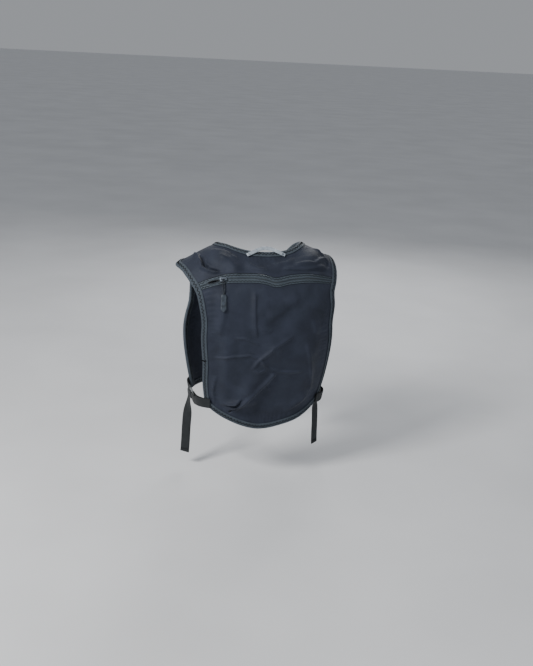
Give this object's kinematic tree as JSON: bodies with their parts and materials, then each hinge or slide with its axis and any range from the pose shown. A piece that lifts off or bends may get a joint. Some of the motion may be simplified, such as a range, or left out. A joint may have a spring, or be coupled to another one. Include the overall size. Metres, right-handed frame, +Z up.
{
  "type": "running hydration vest",
  "caption": "Close-fitting running hydration vest with a zipped back pocket, bound edges, hang loop, flask pockets, side adjuster straps and a chest strap.",
  "frame": {"origin": "midway between the wearer's shoulders, on the line where the two straps sit", "axes": "+Z up, +Y towards the wearer's front, +X towards the wearer's right hand"},
  "size_m": [0.3222, 0.2523, 0.4502],
  "materials": {
    "shell_cloth": "fine woven nylon, slightly shiny",
    "liner_cloth": "matt open mesh",
    "edge_tape": "matt stretch tape with zigzag stitches",
    "zip_band": "coil zip tape",
    "slider_metal": "satin grey",
    "pull_moulding": "matt moulded rubbery plastic",
    "pale_webbing": "ribbed narrow webbing",
    "dark_webbing": "flat woven webbing",
    "hard_plastic": "smooth dark moulding"
  },
  "bodies": {
    "root": {"yoke": "shell_cloth", "back_panel": "shell_cloth", "back_liner": "liner_cloth", "zip_tape": "zip_band", "zip_slider": "slider_metal", "zip_pull_loop": "dark_webbing", "zip_pull_tab": "pull_moulding", "neck_binding": "edge_tape", "hem_binding": "edge_tape", "hang_loop": "pale_webbing", "sternum_clasp": "hard_plastic", "front_panel_left": "shell_cloth", "front_pocket_left": "shell_cloth", "pocket_rim_left": "edge_tape", "armhole_binding_left": "edge_tape", "front_hem_left": "edge_tape", "lock_loop_left": "dark_webbing", "ladder_lock_left": "hard_plastic", "side_strap_left": "dark_webbing", "sternum_strap_left": "dark_webbing", "front_panel_right": "shell_cloth", "front_pocket_right": "shell_cloth", "pocket_rim_right": "edge_tape", "armhole_binding_right": "edge_tape", "front_hem_right": "edge_tape", "lock_loop_right": "dark_webbing", "ladder_lock_right": "hard_plastic", "side_strap_right": "dark_webbing", "sternum_strap_right": "dark_webbing"}
  },
  "joints": []
}
